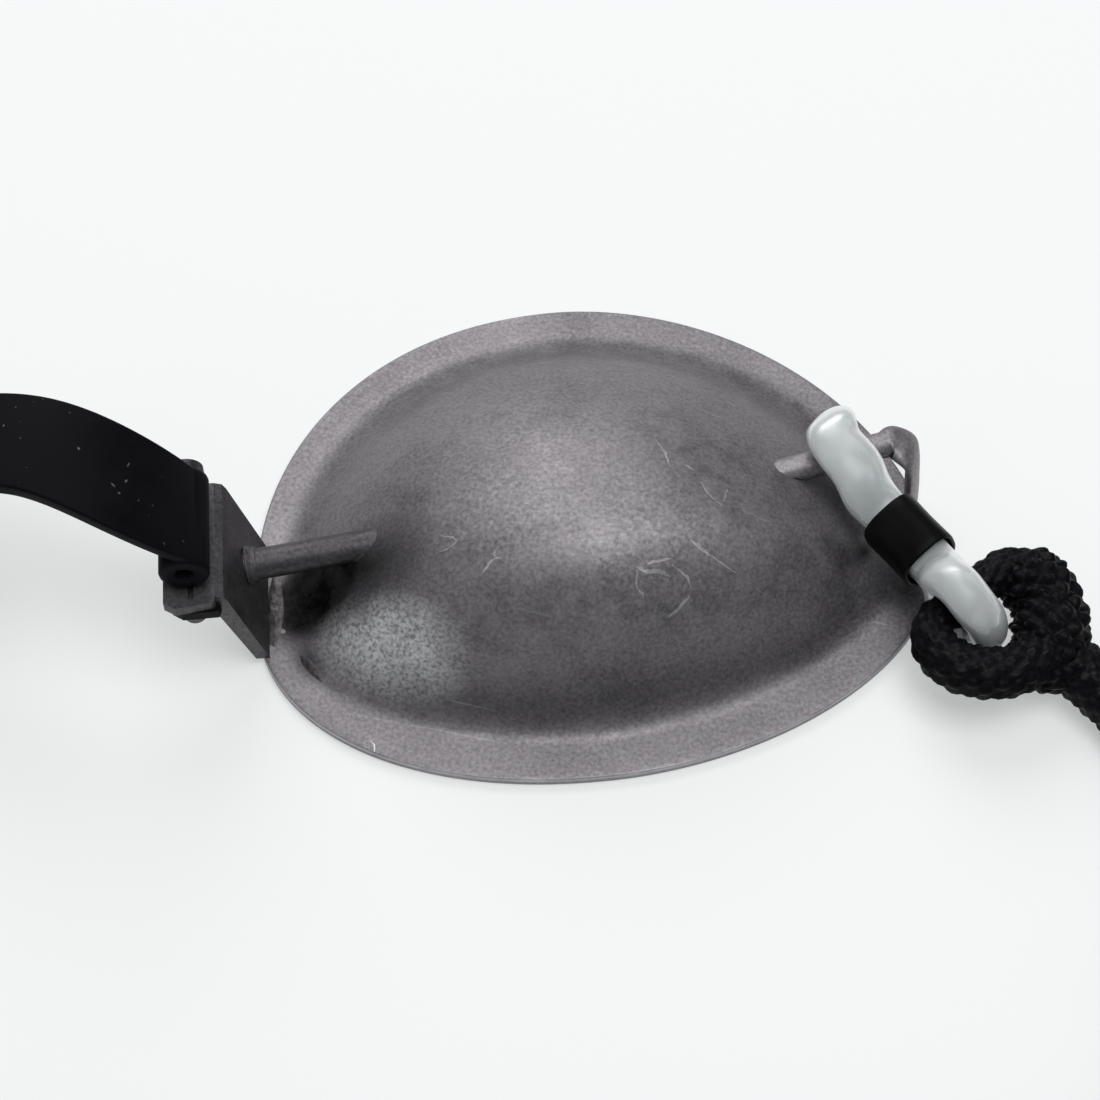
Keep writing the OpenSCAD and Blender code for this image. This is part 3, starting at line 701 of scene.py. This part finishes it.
def strap_skin(steps=60):
    """The band between the rolled ends, of rounded oblong section."""
    corner = [(math.cos(q), math.sin(q)) for q in np.linspace(0, math.pi / 2, 7)]
    rings = []
    for i in range(-steps, steps + 1):
        t = i / steps
        run = unit(strap_line(t + 0.02) - strap_line(t - 0.02))
        w = unit(np.cross([0, 0, 1], run))
        h = np.cross(w, run)
        wide = (STRAP_W + (ROLL_W - 0.1 - STRAP_W) * t * t) / 2
        thick = (STRAP_T - STRAP_THINS * t * t) / 2
        r = 0.32
        section = []
        for sx, sy, turn in ((1, 1, 1), (-1, 1, -1), (-1, -1, 1), (1, -1, -1)):
            for cx, cy in corner[::turn]:
                section.append((sx * (wide - r + r * cx), sy * (thick - r + r * cy)))
        rings.append([strap_line(t) + w * x + h * y for x, y in section])
    return skin(rings)


def roll_skin(side):
    """The rolled end: the strap's tail lies round the pin, with a seam where it is bonded back."""
    n = 96
    a = np.arange(n) * 2 * math.pi / n
    seam = math.radians(285)
    groove = 0.28 * np.exp(-((((a - seam + math.pi) % (2 * math.pi)) - math.pi) / 0.07) ** 2)
    outer = ROLL_R - groove - 0.05 * (0.5 + 0.5 * np.cos(a - seam - 0.4))
    inner = np.full(n, PIN_R + 0.05)
    half = ROLL_W / 2
    profile = [(inner, -half + 0.2), (inner + 0.15, -half + 0.03), (0.5 * (inner + outer), -half)]
    profile += [(outer - 0.3, -half), (outer - 0.09, -half + 0.08), (outer, -half + 0.3)]
    profile += [(outer, y) for y in np.linspace(-half + 0.8, half - 0.8, 12)]
    profile += [(outer, half - 0.3), (outer - 0.09, half - 0.08), (outer - 0.3, half)]
    profile += [(0.5 * (inner + outer), half), (inner + 0.15, half - 0.03), (inner, half - 0.2)]
    rings = [np.stack([r * np.cos(a), np.full(n, y - ROLL_SHIFT), PIN_Z + r * np.sin(a)], -1)
             for r, y in profile]
    points, faces = skin(rings, closed=True)
    return row(points, side), [tuple(reversed(f)) for f in faces] if SIDES[side] < 0 else faces


band_points, band_faces = strap_skin()
piece("nose_strap_rubber",
      *merged((band_points * MM, band_faces), roll_skin("right"), roll_skin("left")),
      RUBBER, "black_rubber", "strap", ["nose_strap"])


# ---------------------------------------------------------------- the silicone ring and its collar

RING_WALL, RING_GAP = 1.3, 0.35  # half of the ring's wall over the post, and its clearance there
HOOK = BAR_R + RING_WALL + RING_GAP
PINCH_S, PINCH_Y, PINCH_Z = 10.1, 0.4, -1.3
TWIST, HELD = math.radians(20), 2.8  # the ring's twist and half of the length that the collar holds
TUBE_W, TUBE_T = 4.1, 3.0
# The part's own knots, a little slimmer behind the hook and wider on top, so that skins keep clear
RING_KNOTS = [
    [0, 0, HOOK, 4.9, 2.6], [3.9, 0, 2.1, 5.1, 3], [6.4, 0.4, 0.25, 4.5, 2.4],
    [PINCH_S, 0.4, PINCH_Z + 1.22, 4.3, 2.2], [13.6, 0.4, PINCH_Z + 1.35, TUBE_W, 2.3],
    [15.2, -0.1, 0.9, TUBE_W, 2.8], [16.9, -0.5, 1.4, TUBE_W, TUBE_T], [18.9, -0.5, 0.8, TUBE_W, TUBE_T],
    [20.4, -0.1, -0.6, 3.9, TUBE_T], [20.9, 0.1, -2.5, 3.7, TUBE_T], [20.4, 0, -4.2, 3.7, TUBE_T],
    [19, -0.3, -5.3, 3.9, TUBE_T], [17.4, -0.4, -5.7, TUBE_W, 2.8], [16, -0.3, -5.6, TUBE_W, 2.4],
    [14.6, 0, -4.9, TUBE_W, 2.2], [13.6, 0.4, PINCH_Z - 1.4, TUBE_W, 2.2],
    [PINCH_S, 0.4, PINCH_Z - 1.22, 4.3, 2.2],
    [6.4, 0.4, PINCH_Z - 1.35, 3.9, 2.2], [3.6, 1.7, -2.7, 3.7, 2.4], [0.5, 2.5, -HOOK, 3.3, 2.3],
    [-1.8, 2.4, -0.75 * HOOK, 3.7, 2.3], [-2.6, 2.1, 0, 4.1, 2.3], [-1.9, 1.3, 0.75 * HOOK, 4.4, 2.5]]


def twisted(p):
    """Ring points turned about the pinch's axis, fully under the collar and less and less beyond it."""
    far = np.clip((abs(p[..., 0] - PINCH_S) - HELD) / 5, 0, 1)
    a = TWIST * (1 + np.cos(math.pi * far)) / 2
    y, z = p[..., 1] - PINCH_Y, p[..., 2] - PINCH_Z
    return np.stack([p[..., 0], PINCH_Y + np.cos(a) * y - np.sin(a) * z,
                     PINCH_Z + np.sin(a) * y + np.cos(a) * z], -1)


for side in SIDES:
    rings = twisted(tube(smooth(RING_KNOTS, 8, closed=True), (0, 1, 0), 36, closed=True))
    points, faces = skin(rings, closed=True)
    piece(f"{side}_ring_silicone", row(on_ring(points), side), faces, SILICONE, "silicone", f"{side}_ring",
          [f"{side}_silicone_ring"], flip=SIDES[side] < 0)


COLLAR_Y, COLLAR_Z, COLLAR_POWER = 2.85, 3.3, 2.9  # half of its width and height outside, and its roundness


def collar_skin():
    """A short rubber tube of oval section, its mouths a little flared and rolled."""
    n, half = 88, HELD
    a = np.arange(n) * 2 * math.pi / n

    def outline(w, h):
        r = (abs(np.cos(a)) / w) ** COLLAR_POWER + (abs(np.sin(a)) / h) ** COLLAR_POWER
        r = r ** (-1 / COLLAR_POWER)
        return r * np.cos(a), r * np.sin(a)

    rings = []
    for x, grow in [(-half + 0.22, -0.38), (-half + 0.05, -0.3), (-half, -0.19), (-half + 0.05, -0.07),
                    (-half + 0.22, 0.0), (-half * 0.6, -0.02), (0, -0.05), (half * 0.6, -0.02),
                    (half - 0.22, 0.0), (half - 0.05, -0.07), (half, -0.19), (half - 0.05, -0.3),
                    (half - 0.22, -0.38)]:
        y, z = outline(COLLAR_Y + grow, COLLAR_Z + grow)
        rings.append(twisted(np.stack([np.full(n, x + PINCH_S), y + PINCH_Y, z + PINCH_Z], -1)))
    return skin(rings, closed=True)


for side in SIDES:
    points, faces = collar_skin()
    piece(f"{side}_collar_rubber", row(on_ring(points), side), faces, COLLAR, "black_rubber",
          f"{side}_collar", [f"{side}_ring_collar"], flip=SIDES[side] < 0)


# ---------------------------------------------------------------- the metal that CAD has made

# nose post, bracket and screw take the darker copy of the steel, which is painted shade
for side in SIDES:
    for node, width, look in (("nose_post", 0.12, SHADED_STEEL), ("nose_bracket", 0.28, SHADED_STEEL),
                              ("hinge_pin", 0.1, STEEL), ("clamp_screw", 0.1, SHADED_STEEL),
                              ("clamp_pad", 0.1, RUBBER), ("temple_post", 0.15, STEEL)):
        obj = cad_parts[f"{side}_{node}"]
        obj.data.materials.clear()
        obj.data.materials.append(look)
        bevel = obj.modifiers.new("bevel", "BEVEL")
        bevel.width = width * MM
        bevel.segments = 3
        bevel.angle_limit = math.radians(22)
        bevel.harden_normals = True


# ---------------------------------------------------------------- floor and light

def stage_look(name, color, lift):
    """A matt surface that keeps its shadows, lifted towards its own colour where it is seen."""
    look = Look(name, color, 0.9, 0.0, Specular_IOR_Level=0.1)
    path = look.node("ShaderNodeLightPath")
    seen = look.math("MAXIMUM", path.outputs["Is Camera Ray"], path.outputs["Is Glossy Ray"])
    seen = look.math("MAXIMUM", seen, path.outputs["Is Transmission Ray"])
    glow = look.node("ShaderNodeEmission")
    glow.inputs["Color"].default_value = (*color, 1)
    blend = look.node("ShaderNodeMixShader")
    look.link(look.math("MULTIPLY", seen, lift), blend.inputs[0])
    look.link(look.bsdf.outputs[0], blend.inputs[1])
    look.link(glow.outputs[0], blend.inputs[2])
    out = next(n for n in look.tree.nodes if n.type == "OUTPUT_MATERIAL")
    look.link(blend.outputs[0], out.inputs["Surface"])
    return look.mat


floor_mesh = bpy.data.meshes.new("floor")
floor_mesh.from_pydata([(-3, -3, 0), (3, -3, 0), (3, 3, 0), (-3, 3, 0)], [], [(0, 1, 2, 3)])
floor = bpy.data.objects.new("floor", floor_mesh)
scene.collection.objects.link(floor)
floor_mesh.materials.append(stage_look("pale_floor", (0.96, 0.975, 0.972), 0.42))

world = bpy.data.worlds.new("world")
scene.world = world
world.use_nodes = True
world.node_tree.nodes["Background"].inputs["Color"].default_value = (0.93, 0.96, 1.0, 1)
world.node_tree.nodes["Background"].inputs["Strength"].default_value = 0.22


def lamp(name, place, size, power):
    light = bpy.data.lights.new(name, "AREA")
    light.size = size
    light.energy = power
    obj = bpy.data.objects.new(name, light)
    scene.collection.objects.link(obj)
    obj.location = place
    obj.rotation_euler = (Vector((0.04, 0, 0.005)) - obj.location).to_track_quat("-Z", "Y").to_euler()


lamp("window", (-0.25, 0.6, 0.6), 0.6, 3.6)
lamp("ceiling", (0.2, -0.05, 0.8), 0.5, 3.4)
lamp("front", (-0.4, -0.4, 0.35), 0.3, 0.15)
